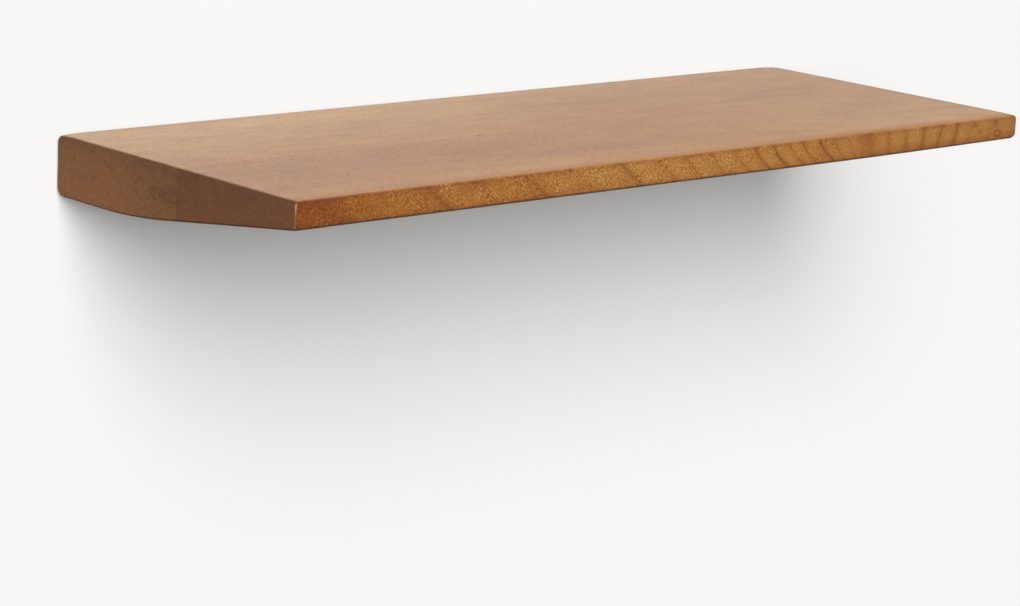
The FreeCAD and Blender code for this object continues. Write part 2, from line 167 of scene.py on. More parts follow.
class ShelfStageLook(bpy.types.PropertyGroup):
    """Camera, light, wall and floor."""

    camera_x: size("Camera X", "Along the wall", -1.3131, low=-10)
    camera_y: size("Camera Y", "Out of the wall", -1.5035, low=-10)
    camera_z: size("Camera Z", "Above the rods", 0.3449, low=-10)
    turn: angle("Camera turn", "To the right of straight at the wall", 42.486)
    tilt: angle("Camera tilt", "Down from level", 13.081)
    roll: angle("Camera roll", "Lean of the camera to its side", 2.825)
    lens: share("Lens", "Focal length in millimetres", 108.635)
    key_level: share("Key level", "Light of the key lamp", 1.03)
    key_turn: angle("Key turn", "Key lamp's place to the left of straight in front", 26.6)
    key_height: angle("Key height", "Key lamp above level", 24.7)
    key_width: angle("Key width", "Angle that the key lamp fills, for soft shadows", 47)
    wall_level: share("Wall level", "Light that only the wall and the floor get", 0.27)
    wall_height: angle("Wall lamp height", "The wall's own lamp above level", 56)
    gloss_below: share("Gloss below", "How bright gloss sees the surroundings below the horizon", 0.08)
    gloss_left: share("Gloss left", "How bright gloss sees the left of the wall's side", 1.50)
    wall: colour("Wall", "Painted wall", (0.947, 0.939, 0.922))
    floor: colour("Floor", "Pale floor", (0.86, 0.855, 0.84))
    floor_drop: size("Floor drop", "Floor below the rods' centre line", 1.3)


def run_of_points(first, last, steps):
    """Points on the straight line from first to last: first + t * (last - first), t from 0 to 1."""
    t = np.linspace(0, 1, steps + 1)[:, None]
    return np.asarray(first) * (1 - t) + np.asarray(last) * t


def arc_points(centre, radius, start, end, steps):
    """Points on a circle: centre + radius * (cos a, sin a), with a from start to end in degrees."""
    a = np.radians(np.linspace(start, end, steps + 1))[:, None]
    return np.asarray(centre) + radius * np.hstack([np.cos(a), np.sin(a)])


def joined(*stretches):
    """One chain of points from stretches that each start where the last one ends."""
    return np.vstack([stretches[0]] + [stretch[1:] for stretch in stretches[1:]])


def taper_angle(sizes):
    """Angle of the straight taper, which leaves the bend as a tangent and meets the front corner.

    With run = depth - level and rise = back height - front height, the tangent of its half is
    (run - sqrt(run^2 - rise * (2 * bend - rise))) / (2 * bend - rise).
    """
    run, rise = sizes.depth - sizes.level, sizes.back_height - sizes.front_height
    span = 2 * sizes.bend - rise
    return 2 * math.atan((run - math.sqrt(run**2 - rise * span)) / span)


def on_taper(sizes, y, inset):
    """The point of the taper at a given y, with the taper moved inwards by inset."""
    slope = taper_angle(sizes)
    corner_z = sizes.top - sizes.front_height
    return [y, corner_z - (y + sizes.depth) * math.tan(slope) + inset / math.cos(slope)]


def rear_outline(sizes, inset):
    """The rear board's (y, z) outline from the top of the glue joint round the back to its foot.

    Lines and arcs follow each other as tangents; inset moves lines inwards and shortens the radii.
    """
    top, low = sizes.top - inset, sizes.top - sizes.back_height
    upper = (-sizes.back_top, sizes.top - sizes.back_top)
    lower = (-sizes.back_low, low + sizes.back_low)
    bend = (-sizes.level, low + sizes.bend)
    soft_bend = arc_points(bend, sizes.bend - inset, 270, 270 - math.degrees(taper_angle(sizes)), 20)
    return joined(
        run_of_points((-sizes.joint, top), (upper[0], top), 24),
        arc_points(upper, sizes.back_top - inset, 90, 0, 14),
        run_of_points((-inset, upper[1]), (-inset, lower[1]), 6),
        arc_points(lower, sizes.back_low - inset, 0, -90, 12),
        run_of_points((lower[0], low + inset), (bend[0], low + inset), 10),
        soft_bend,
        run_of_points(soft_bend[-1], on_taper(sizes, -sizes.joint, inset), 3))


def front_outline(sizes, inset):
    """The front board's (y, z) outline from the foot of the glue joint round the front to its top."""
    slope = taper_angle(sizes)
    top, corner_z = sizes.top - inset, sizes.top - sizes.front_height
    rise = sizes.front_low * math.tan(math.pi / 4 - slope / 2)
    lower = (-sizes.depth + sizes.front_low, corner_z + rise)
    upper = (-sizes.depth + sizes.front_top, sizes.top - sizes.front_top)
    low_arc = arc_points(lower, sizes.front_low - inset, 270 - math.degrees(slope), 180, 9)
    return joined(
        run_of_points(on_taper(sizes, -sizes.joint, inset), low_arc[0], 24),
        low_arc,
        run_of_points(low_arc[-1], (-sizes.depth + inset, upper[1]), 5),
        arc_points(upper, sizes.front_top - inset, 180, 90, 12),
        run_of_points((upper[0], top), (-sizes.joint, top), 26))


def quarter_easing(radius, steps):
    """Stations and insets of a rounded end: r * (1 - cos a) and r * (1 - sin a), a from 0 to 90 degrees."""
    a = np.radians(np.linspace(0, 90, steps))
    return radius * (1 - np.cos(a)), radius * (1 - np.sin(a))


def board_layers(sizes, outline):
    """A board as a grid: its outline carried along X and moved inwards where both ends are eased.

    Stations stand closer where the corners are softened.
    """
    half = sizes.length / 2
    station, inset = quarter_easing(sizes.easing, 7)
    corner = half - sizes.easing - np.array([0.9, 2.0, 3.4, 5.2, 7.5, 11.0]) * MM
    middle = np.linspace(-corner[-1], corner[-1], 60)[1:-1]
    straight = np.concatenate([-corner, middle, corner[::-1]])
    stations = np.concatenate([station - half, straight, (half - station)[::-1]])
    insets = np.concatenate([inset, np.zeros(len(straight)), inset[::-1]])
    rings = np.array([outline(sizes, inwards) for inwards in insets])
    along = np.broadcast_to(stations[:, None, None], rings.shape[:2] + (1,))
    return soften_corners(sizes, np.concatenate([along, rings], axis=2))


def soften_corners(sizes, points):
    """Rounds the corners as sanding does and lets the lower front edge rise towards the right end.

    At a distance d from an end a front corner of radius r is drawn in by r - sqrt(r^2 - (r - d)^2), down at
    the top and up at the foot, from none at the middle of the front face to all at the arris. It fades as
    exp(-(distance from the front / reach)^2). The back corners' top goes down by dip * exp(-dx^2 - dy^2),
    with the distances over its reach. The rise at the right is end lift * (1 - distance / run)^1.5, which
    also fades over the taper's depth.
    """
    x, y, z = points[..., 0], points[..., 1], points[..., 2]
    from_end, from_front = sizes.length / 2 - np.abs(x), y + sizes.depth

    def drawn_in(left, right):
        radius = np.where(x < 0, left, right)
        missing = np.clip(radius - from_end, 0, radius)
        return radius - np.sqrt(radius**2 - missing**2)

    near_front = np.exp(-(from_front / sizes.corner_reach)**2)
    near_back = np.exp(-(from_end / sizes.back_reach)**2 - (y / sizes.back_reach)**2)
    half = sizes.front_height / 2
    height = (z - sizes.top + half) / half
    upper, lower = np.clip(height, 0, 1), np.clip(-height, 0, 1)
    run = np.clip(1 - (sizes.length / 2 - x) / sizes.end_lift_run, 0, 1)
    raised = sizes.end_lift * run**1.5 * np.exp(-from_front / (sizes.depth / 4))
    down = upper**2 * (drawn_in(sizes.left_top, sizes.right_top) * near_front + sizes.back_dip * near_back)
    up = lower * (drawn_in(sizes.left_low, sizes.right_low) * lower * near_front + raised)
    return np.stack([x, y, z - down + up], axis=-1)


def grid_quads(rows, columns):
    """Four point numbers for each cell of a grid that is numbered row by row and goes once round."""
    r, c = np.meshgrid(np.arange(rows - 1), np.arange(columns), indexing="ij")
    following = (c + 1) % columns
    corners = [r * columns + c, r * columns + following, (r + 1) * columns + following, (r + 1) * columns + c]
    return np.stack(corners, axis=-1).reshape(-1, 4).tolist()


def shade(mesh):
    """Smooth shading with sharp edges above an angle."""
    mesh.shade_smooth()
    mesh.set_sharp_from_angle(angle=SHARP_ANGLE)


def new_object(name, mesh):
    """An object at the origin that holds a mesh."""
    made = bpy.data.objects.new(name, mesh)
    bpy.context.scene.collection.objects.link(made)
    return made


def solid_object(name, points, faces):
    """An object of one mesh with merged points and outward faces."""
    mesh = bpy.data.meshes.new(name)
    mesh.from_pydata(points.reshape(-1, 3), [], faces)
    work = bmesh.new()
    work.from_mesh(mesh)
    bmesh.ops.remove_doubles(work, verts=work.verts, dist=1e-7)
    bmesh.ops.dissolve_degenerate(work, dist=1e-8, edges=work.edges)
    bmesh.ops.recalc_face_normals(work, faces=work.faces)
    work.to_mesh(mesh)
    work.free()
    shade(mesh)
    return new_object(name, mesh)


def layered_object(name, layers):
    """A closed piece from outlines that follow each other, with a flat polygon on the first and the last."""
    rows, count = layers.shape[:2]
    ends = [list(range(count)), list(range((rows - 1) * count, rows * count))]
    return solid_object(name, layers, grid_quads(rows, count) + ends)


def round_angles(steps):
    """Angles of the columns of a turned shape, in one row."""
    return np.linspace(0, 2 * np.pi, steps, endpoint=False)[None, :]


def turned_object(name, profile, centre, axis, steps=64):
    """A closed turned shape whose profile begins and ends on the axis or in one place.

    A point is centre + distance * axis + radius * (cos a * side + sin a * up), with a going once round. The
    profile has pairs of radius and distance, each a number, or a grid with a row for each station.
    """
    a = round_angles(steps)
    pairs = [np.broadcast_arrays(radius, distance, a)[:2] for radius, distance in profile]
    radius, distance = (np.vstack(part)[..., None] for part in zip(*pairs))
    side, up = np.array((1, 0, 0)), np.cross(axis, (1, 0, 0))
    outwards = np.cos(a)[..., None] * side + np.sin(a)[..., None] * up
    points = np.asarray(centre) + distance * np.array(axis) + radius * outwards
    return solid_object(name, points, grid_quads(len(points), steps))


def thread_wave(distance, a, pitch):
    """Height of a screw thread, 1 on the flat crest and 0 in the root.

    The phase distance / pitch - a / (2 * pi) is whole on a crest, and the height falls straight with the
    phase's distance from a whole number.
    """
    phase = distance / pitch - a / (2 * np.pi)
    return np.clip(1.15 - 2.8 * np.abs(phase - np.round(phase)), 0, 1)


def hexagon_radius(a, flats):
    """Distance from a hexagon's middle to its side: half the flats / cos of the angle from the flat."""
    sixth = np.pi / 3
    return flats / 2 / np.cos(np.mod(a, sixth) - sixth / 2)


def rounded_rectangle(width, height, radius, steps):
    """Points round a rectangle with quarter circles at its corners, anticlockwise."""
    x, z = width / 2 - radius, height / 2 - radius
    corners = [(x, z, 0), (-x, z, 90), (-x, -z, 180), (x, -z, 270)]
    return np.vstack([arc_points((cx, cz), radius, start, start + 90, steps) for cx, cz, start in corners])


def plate_object(name, margin, radius, near, far, easing=0.0):
    """A plate along Y as large as the wall plate and a margin, with rounded corners and eased faces."""
    width, height = (PLATE_HIGH[part] - PLATE_LOW[part] + 2 * margin for part in (0, 2))
    depth, inset = quarter_easing(easing, 5) if easing else (np.zeros(1), np.zeros(1))
    inwards = math.copysign(1, far - near)
    places = np.concatenate([near + inwards * depth, (far - inwards * depth)[::-1]])
    layers = []
    for y, drawn_in in zip(places, np.concatenate([inset, inset[::-1]])):
        outline = rounded_rectangle(width - 2 * drawn_in, height - 2 * drawn_in, radius - drawn_in, 8)
        layers.append(np.insert(outline, 1, y, axis=1))
    return layered_object(name, np.array(layers))


def cut_away(piece, cutters):
    """Takes the cutters' shapes out of the piece, leaves one plain mesh and removes the cutters."""
    for cutter in cutters:
        tool = piece.modifiers.new(cutter.name, "BOOLEAN")
        tool.object = cutter
        tool.operation = "DIFFERENCE"
        tool.solver = "EXACT"
    depsgraph = bpy.context.evaluated_depsgraph_get()
    mesh = bpy.data.meshes.new_from_object(piece.evaluated_get(depsgraph))
    piece.modifiers.clear()
    piece.data = mesh
    for cutter in cutters:
        bpy.data.objects.remove(cutter)
    shade(mesh)


def finished(piece, body, nodes, material):
    """Gives a piece its finish and its place in the frame, and keeps its flat faces flat in the shading."""
    piece.data.materials.clear()
    piece.data.materials.append(material)
    piece.modifiers.new("even_shading", "WEIGHTED_NORMAL").keep_sharp = True
    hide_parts(*nodes)
    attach(piece, body)


def feed(node, inputs):
    """Links values to a node's inputs, and sets those that get plain numbers."""
    for key, value in dict(inputs).items():
        if isinstance(value, Value):
            node.id_data.links.new(value.socket, node.inputs[key])
        else:
            node.inputs[key].default_value = value


class Node:
    """A new node of a tree, with its choices and inputs. Its outputs are values."""

    def __init__(self, tree, kind, inputs=(), **choices):
        self.node = tree.nodes.new(kind)
        for word, value in choices.items():
            setattr(self.node, word, value)
        feed(self.node, inputs)

    def __getitem__(self, output):
        return Value(self.node.outputs[output])


class Value:
    """A node's output to calculate with. Each operation adds a Math node, or a Vector Math node."""

    def __init__(self, socket):
        self.socket, self.tree = socket, socket.id_data

    def maths(self, operation, *others, **choices):
        return calculated(self, operation, self, *others, **choices)

    def __add__(self, other):
        return self.maths("ADD", other)

    def __sub__(self, other):
        return self.maths("SUBTRACT", other)

    def __rsub__(self, other):
        return calculated(self, "SUBTRACT", other, self)

    def __mul__(self, other):
        return self.maths("MULTIPLY", other)

    def __truediv__(self, other):
        return self.maths("DIVIDE", other)

    def __rtruediv__(self, other):
        return calculated(self, "DIVIDE", other, self)

    def __pow__(self, other):
        return self.maths("POWER", other)

    def __abs__(self):
        return self.maths("ABSOLUTE")

    def __neg__(self):
        return self * -1

    __radd__ = __add__
    __rmul__ = __mul__


def calculated(like, operation, *values, **choices):
    """Result of one operation on the kind of number that another value is."""
    kind = "ShaderNodeMath" if like.socket.type == "VALUE" else "ShaderNodeVectorMath"
    return Node(like.tree, kind, enumerate(values), operation=operation, **choices)[0]


def exponential(value):
    """e to the power of a value."""
    return value.maths("EXPONENT")


def lowest(first, second):
    """The lower of two values."""
    return first.maths("MINIMUM", second)


def highest(first, *others):
    """The highest of some values."""
    for other in others:
        first = first.maths("MAXIMUM", other)
    return first


def hypotenuse(first, second):
    """Square root of the sum of two squares."""
    return (first * first + second * second).maths("SQRT")


def rise(value, low, high, first=0, last=1):
    """Smooth step from first to last while value goes from low to high."""
    inputs = {"Value": value, "From Min": low, "From Max": high, "To Min": first, "To Max": last}
    return Node(value.tree, "ShaderNodeMapRange", inputs, interpolation_type="SMOOTHSTEP")[0]


def hill(value, centre, width, height=1):
    """Height at the centre, falling as exp(-((value - centre) / width)^2)."""
    offset = (value - centre) / width
    return exponential(-(offset * offset)) * height


def patch(vector, centre, reach, height):
    """Height at the centre, falling as exp(-(distance / reach)^2), with a reach along each axis."""
    offset = (vector - centre) / reach
    length = Node(vector.tree, "ShaderNodeVectorMath", {0: offset}, operation="LENGTH")["Value"]
    return exponential(-(length * length)) * height


def curve(value, points):
    """Straight runs through (value, height) points, carried on past the last ones."""
    placed = Node(value.tree, "ShaderNodeFloatCurve", {1: value})
    mapping = placed.node.mapping
    line = mapping.curves[0]
    line.points[0].location, line.points[1].location = points[0], points[-1]
    for point in points[1:-1]:
        line.points.new(*point)
    for point in line.points:
        point.handle_type = "VECTOR"
    mapping.extend = "EXTRAPOLATED"
    mapping.use_clip = False
    mapping.update()
    return placed[0]


def vector(x, y, z=0):
    """A vector of three parts."""
    return Node(x.tree, "ShaderNodeCombineXYZ", {0: x, 1: y, 2: z})[0]


def split(whole):
    """The three parts of a vector."""
    return Node(whole.tree, "ShaderNodeSeparateXYZ", {0: whole})


def turned(whole, degrees):
    """A vector turned about Z."""
    inputs = {0: whole, 3: math.radians(degrees)}
    return Node(whole.tree, "ShaderNodeVectorRotate", inputs, rotation_type="Z_AXIS")[0]


def noise(place, scale=1, detail=2, roughness=0.5):
    """Noise from 0 to 1 round 0.5."""
    inputs = {"Vector": place, "Scale": scale, "Detail": detail, "Roughness": roughness}
    return Node(place.tree, "ShaderNodeTexNoise", inputs)["Fac"]


def spots(place, reach, detail=2, roughness=0.5):
    """Noise from about -1 to 1, whose spots are as large as reach says along each axis."""
    return noise(place / reach, 1, detail, roughness) * 4 - 2


def mixed(share_of_second, first, second):
    """Colour between two colours."""
    inputs = {0: share_of_second, 6: first, 7: second}
    return Node(share_of_second.tree, "ShaderNodeMix", inputs, data_type="RGBA")[2]


def toned(tint, factor):
    """A colour made lighter or darker by a factor."""
    return Node(factor.tree, "ShaderNodeVectorMath", {0: tint, 3: factor}, operation="SCALE")[0]


def spaced(results):
    """Sockets' names from words with underscores."""
    return {word.replace("_", " "): value for word, value in results.items()}


def use(tree, name, **inputs):
    """A shared node group with its own inputs."""
    return Node(tree, "ShaderNodeGroup", spaced(inputs), node_tree=bpy.data.node_groups[name])


def shader_group(name, inputs, *outputs, result="Float"):
    """A new node group, its inputs as values, and a function that links results to its outputs.

    An input is given by its default, or by its kind when it always gets a value.
    """
    group = bpy.data.node_groups.new(name, "ShaderNodeTree")
    for word, default in inputs.items():
        kind = default if isinstance(default, str) else "Float"
        socket = group.interface.new_socket(word, in_out="INPUT", socket_type="NodeSocket" + kind)
        if kind == "Float":
            socket.default_value = default
    for word in outputs:
        group.interface.new_socket(word, in_out="OUTPUT", socket_type="NodeSocket" + result)
    leave = group.nodes.new("NodeGroupOutput")

    def give(**results):
        feed(leave, spaced(results))

    return group, Node(group, "NodeGroupInput"), give


def build_face_shares():
    """Group: how much a surface is flat, front or back edge, and end, and where it is an arris.

    Outline is 1 on the roundings at the back, at the foot, along the top of an end and round the right end;
    the wood gets painted shade there.
    """
    group, entry, give = shader_group(
        "face_shares", {"Normal": "Vector"}, "Flat", "Edge", "End", "Arris", "Upright Arris", "Outline")
    to_x, to_y, to_z = split(entry["Normal"])
    x, y, z = abs(to_x), abs(to_y), abs(to_z)
    end = rise(x, 0.60, 0.96)
    edge = rise(y, 0.50, 0.80) * (1 - end)
    flat = calculated(end, "SUBTRACT", 1, end + edge, use_clamp=True)
    back = rise(to_y, 0.05, 0.45) * rise(to_y, 0.995, 0.93)
    foot = rise(to_z, -0.10, -0.40) * rise(to_z, -0.995, -0.93)
    above_end = rise(x, 0.12, 0.40) * rise(x, 0.99, 0.90) * rise(z, 0.12, 0.40)
    right = rise(to_x, 0.25, 0.60) * rise(to_x, 0.995, 0.93)
    give(End=end, Edge=edge, Flat=flat, Arris=rise(highest(x, y, z), 0.97, 0.80),
         Upright_Arris=rise(x * y, 0.38, 0.495), Outline=highest(back, foot, above_end, right))


def build_pores():
    """Group: short dark dashes, noise that is stretched along the grain and cut off below a level."""
    group, entry, give = shader_group(
        "pores", {"Vector": "Vector", "Length": 3.0, "Width": 0.3, "Level": 0.6}, "Mask")
    width, level = entry["Width"], entry["Level"]
    stretched = entry["Vector"] / vector(entry["Length"], width, width)
    give(Mask=rise(noise(stretched, detail=1), level, level + 0.10))


def build_growth_rings():
    """Group: a thin dark line at each whole number of the phase, with a soft shade before it."""
    group, entry, give = shader_group("growth_rings", {"Phase": 0.0, "Sharpness": 14.0}, "Line", "Shade")
    place = entry["Phase"].maths("FRACT")
    from_line = lowest(place, (1 - place) * 1.6)
    give(Line=exponential(-(from_line * entry["Sharpness"])), Shade=place**2)


def build_stain():
    """Group: bare wood seen through stain, bare * stain ** depth in each channel."""
    group, entry, give = shader_group(
        "stain", {"Bare": "Color", "Stain": "Color", "Depth": 1.0}, "Colour", result="Color")
    through = Node(group, "ShaderNodeGamma", {"Color": entry["Stain"], "Gamma": entry["Depth"]})[0]
    give(Colour=through * entry["Bare"])


# Places on the wood are in millimetres. A rise goes from one place to another, and a hill has a middle and a
# reach. Their last numbers are the stain depth that they add, or what they multiply it by.
def build_long_grain():
    """Group: stain depth on a face along the grain, with clouds, streaks, nested arches and pores.

    Pale Band adds painted light near the wall, standing in for light that the wall throws back.
    """
    group, entry, give = shader_group(
        "long_grain",
        {"Vector": "Vector", "Arch X": 0.0, "Arch Y": 0.0, "Ring Width": 14.0, "Ring Depth": 0.08,
         "Pale Band": 0.0, "Texture": 1.0},
        "Depth", "Pores")
    where, ring_depth = entry["Vector"], entry["Ring Depth"]
    x, y, _ = split(where)
    clouds, mottle = spots(where, (90, 38, 38)) * 0.07, spots(where, (34, 15, 15)) * 0.09
    streaks, fine = spots(where, (140, 5, 5), 3, 0.6) * 0.035, spots(where, (16, 0.8, 0.8)) * 0.035
    before_nose = lowest(x - entry["Arch X"], 0) * 0.55
    across = y - entry["Arch Y"] + spots(where, (110, 45, 45)) * 7
    phase = hypotenuse(before_nose, across) / entry["Ring Width"]
    ring = use(group, "growth_rings", Phase=phase, Sharpness=9)
    dashes = use(group, "pores", Vector=where, Length=3.4, Width=0.36, Level=0.56)["Mask"]
    # Painted light: lighter near the wall and most at the left, standing in for light that the wall throws
    # back.
    painted_wall_light = entry["Pale Band"] * rise(y, -78, -12) * rise(x, -160, 250, -1, -0.2)
    give(Pores=dashes, Depth=(
        1 + clouds + mottle + streaks + ring["Line"] * ring_depth - ring["Shade"] * ring_depth * 0.6
        + entry["Texture"] * (fine + dashes * 0.30) + painted_wall_light))


# Growth rings on the front edge: place on the upper edge in millimetres from the left end, and strength.
EDGE_RINGS = (
    (-20, 0.0), (38, 0.15), (93, 1.0), (128, 0.3), (166, 0.7), (205, 0.25), (243, 1.0), (272, 0.7),
    (293.6, 0.75), (317, 0.5), (339, 0.6), (358, 1.0), (374, 1.0), (388, 0.5), (400, 0.6), (415.7, 1.0),
    (428, 0.5), (441, 0.25), (462, 0.3), (480.5, 0.6), (497, 0.6), (516.8, 0.8), (534, 0.8), (550, 1.0),
    (564, 0.35), (585, 0.25), (612, 0.2))
EDGE_LENGTH = 609.6
# Upright bands on it: middle and reach along the edge, and stain depth.
EDGE_BANDS = ((462, 10.5, 0.29), (175, 22, 0.10), (425, 16, 0.09), (570, 16, 0.07), (278, 30, -0.05))
# Dark knots on it: middle and reach along the edge, middle and reach below the top, and strength.
EDGE_KNOTS = ((567, 2.2, 3.6, 1.3, 1.0), (572.5, 2.6, 8.5, 1.2, 0.7), (587.5, 2.0, 3.6, 2.6, 0.75))


def build_edge_rings():
    """Group: stain depth on the front edge, whose rings lean to the right and stand up towards its end.
    Towards its foot it also carries painted shade.

    A ring that starts at u on the upper edge stands at u + lean * depth * (depth / 15)^bow below it. One
    curve turns u into a phase that is a whole number at each ring's place, and another gives the strength.
    """
    group, entry, give = shader_group(
        "edge_rings", {"Along": 0.0, "Below Top": 0.0, "Length": EDGE_LENGTH}, "Depth", "Pores")
    along, below = entry["Along"], entry["Below Top"]
    flat = vector(along, below)
    lean = (
        1.22 + rise(along, 300, 345, 0, -0.27) + rise(along, 425, 478, 0, -0.83)
        + rise(along, 500, 520, 0, -0.45))
    bow = rise(along, 300, 360) * rise(along, 430, 470, 0.75, 0)
    drop = below * highest(below / 15, 0.001)**bow
    place = (along - lean * drop + spots(flat, (30, 14, 1)) * 1.1) / entry["Length"]
    last = len(EDGE_RINGS) - 1
    phases = [(u / EDGE_LENGTH, number / last) for number, (u, _) in enumerate(EDGE_RINGS)]
    strength = curve(place, [(u / EDGE_LENGTH, strength) for u, strength in EDGE_RINGS])
    sharpness = rise(along, 430, 500, 11, 6)
    ring = use(group, "growth_rings", Phase=curve(place, phases) * last, Sharpness=sharpness)
    line_depth = (
        rise(along, 200, 260, 0.34, 0.46) + rise(along, 345, 385, 0, 0.30) + rise(along, 430, 490, 0, -0.18))

    grain = turned(flat, -42)
    near = rise(along, 250, 520, 1, 0.45)
    cluster = rise(spots(grain, (24, 8, 1), 1), -0.48, 0.48, 0.65, 1.2)
    flecks = lowest(spots(grain, (2.3, 0.8, 1), 2, 0.7), 0.42) * near * cluster * -0.95
    dashes = use(group, "pores", Vector=grain, Length=1.8, Width=0.5, Level=0.54)["Mask"] * near
    blotches = spots(grain, (8, 3, 1)) * rise(along, 150, 260, 0.14, 0.05)
    clouds = spots(flat, (17, 9, 1)) * 0.09

    slanted = along - below * 1.1
    bands = (
        hill(slanted, 16, 11, 0.26) + hill(along, 0, 9) * hill(below, 2.5, 4.5, 0.28)
        + hill(slanted, 127, 9) * rise(below, 1, 9, 0.26, 0) + sum(hill(along, *band) for band in EDGE_BANDS))
    ends = exponential(along / -45) * 0.48 + rise(along, 0, 270, 0.13, 0) + rise(along, 560, 609, 0, 0.16)
    round_knot = hill(hypotenuse((along - 590) * 0.66, below - 10.6), 1.9, 0.8, 0.9)
    knots = round_knot + sum(
        hill(along, u, wide) * hill(below, depth, tall, dark) for u, wide, depth, tall, dark in EDGE_KNOTS)
    # Painted shade: darker towards the foot of the front edge and in its lower rounding, most towards the
    # right.
    foot = (
        rise(below, 9, 16.5, 0, 0.16) + rise(below, 14.4, 16, 0, 0.35)
        + rise(along, 400, 570, 0, 1.7) * rise(below, 9, 14, 0, 0.12))
    ragged = rise(spots(flat, (5, 2, 1)), -0.6, 0.6, 0.25, 1)
    rim = hill(below, 1, 1) * ragged * rise(along, 200, 520, 0.62, 0.50)
    give(Pores=dashes, Depth=(
        0.97 + ring["Line"] * strength * line_depth + ring["Shade"] * strength * 0.18
        + flecks + dashes * 0.32 + blotches + clouds + bands + ends + knots * 0.62 + foot + rim))


def build_end_grain():
    """Group: tone of an end, with mottling, slanting flecks and arched rings round a heart."""
    group, entry, give = shader_group(
        "end_grain",
        {"Vector": "Vector", "Heart Y": 0.0, "Heart Z": -40.0, "Ring Width": 5.0, "Below Top": 0.0},
        "Tone", "Pores")
    x, y, z = split(entry["Vector"])
    below = entry["Below Top"]
    flat = vector(y + rise(x, -1, 1, 0, 400), z)
    warp = spots(flat, (22, 14, 1)) * 1.1
    from_heart = hypotenuse((y - entry["Heart Y"]) * 0.32, z - entry["Heart Z"]) + warp
    ring = use(group, "growth_rings", Phase=from_heart / entry["Ring Width"], Sharpness=5)
    rings = (ring["Line"] * -0.16 + ring["Shade"] * -0.06) * rise(from_heart, 4, 16, 1, 0.4)
    core = hill(from_heart, 0, 5, -0.09) + hill(from_heart, 9, 3, 0.06)
    clouds, mottle = spots(flat, (24, 11, 1)) * 0.07, spots(flat, (5, 3.5, 1)) * 0.10
    grain = turned(flat, 52)
    dark_flecks = use(group, "pores", Vector=grain, Length=6, Width=0.6, Level=0.56)["Mask"]
    flecks = spots(grain, (5, 0.9, 1)) * 0.16 - dark_flecks * 0.24
    shades = (
        rise(below, 0, 13, -0.16, 0) * rise(y, -95, -75, 0.4, 1) + rise(below, 10, 28, 0, 0.11)
        + rise(y, -86, -62, -0.14, 0) + rise(y, -212, -180, 0.10, 0) + hill(y, -112, 14, -0.08))
    give(Pores=dark_flecks, Tone=1 + core + clouds + mottle + rings + flecks + shades)


# Darker (+) and lighter (-) places of the flat faces: x and y of the middle, reach along both, stain depth.
FIGURE_PATCHES = (
    (-145, -155, 120, 26, 0.1125), (-115, -209, 115, 13, -0.15), (215, -86, 55, 28, 0.105),
    (75, -62, 32, 7, 0.135), (195, -205, 90, 14, -0.075), (-30, -190, 70, 12, 0.075),
    (-60, -40, 90, 14, -0.06), (120, -130, 60, 16, 0.06), (-79.8, -122, 1.6, 1.6, 1.35),
    (-262, -128, 16, 6, 0.075), (-215, -104, 26, 5, -0.09), (70, -60, 60, 35, 0.075),
    (110, -180, 50, 14, -0.075), (-285, -110, 22, 10, 0.165), (215, -117, 45, 10, 0.045),
    (-185, -24, 50, 9, -0.12), (-95, -126, 40, 9, -0.105))


def figure(x, y):
    """Stain depth of the patches, of one slanting dark streak and of one pale curve on the flat faces."""
    flat = vector(x, y)
    patches = sum(patch(flat, (cx, cy, 0), (rx, ry, 1), depth) for cx, cy, rx, ry, depth in FIGURE_PATCHES)
    streak = hill(y + (x - 118) * 0.42, -205, 2.6) * hill(x, 118, 26, 0.13)
    dx, dy = x - 52, y + 88
    return patches + streak + hill(hypotenuse(dx, dy), 23, 2.8) * rise(dx, -4, -20, 0, -0.12)


def inside_mask(x, y, z):
    """1 in the recess, the bores and the insert holes of the rear board."""
    inwards = rise(y, -0.15, -0.4) * rise(abs(x), 301, 300)
    below_rods = rise(y, -41, -40) * rise(y, -10, -11) * rise(z, -18.7, -18.4) * rise(z, 0, -1)
    return inwards * highest(rise(abs(z), 10.4, 10.2), below_rods)


def new_material(name):
    """A material, its node tree and its shader."""
    material = bpy.data.materials.new(name)
    material.use_nodes = True
    return material, material.node_tree, material.node_tree.nodes["Principled BSDF"]


def in_millimetres(tree):
    """The place on the object in millimetres."""
    return Node(tree, "ShaderNodeTexCoord")["Object"] * (1000, 1000, 1000)


def bumped(height, strength, size_of_bump):
    """A normal that follows a height."""
    inputs = {"Strength": strength, "Distance": size_of_bump, "Height": height}
    return Node(height.tree, "ShaderNodeBump", inputs)[0]


def make_node_groups():
    """Makes the shared shader groups once."""
    if "face_shares" not in bpy.data.node_groups:
        for build in (build_face_shares, build_pores, build_growth_rings, build_stain, build_long_grain,
                      build_edge_rings, build_end_grain):
            build()


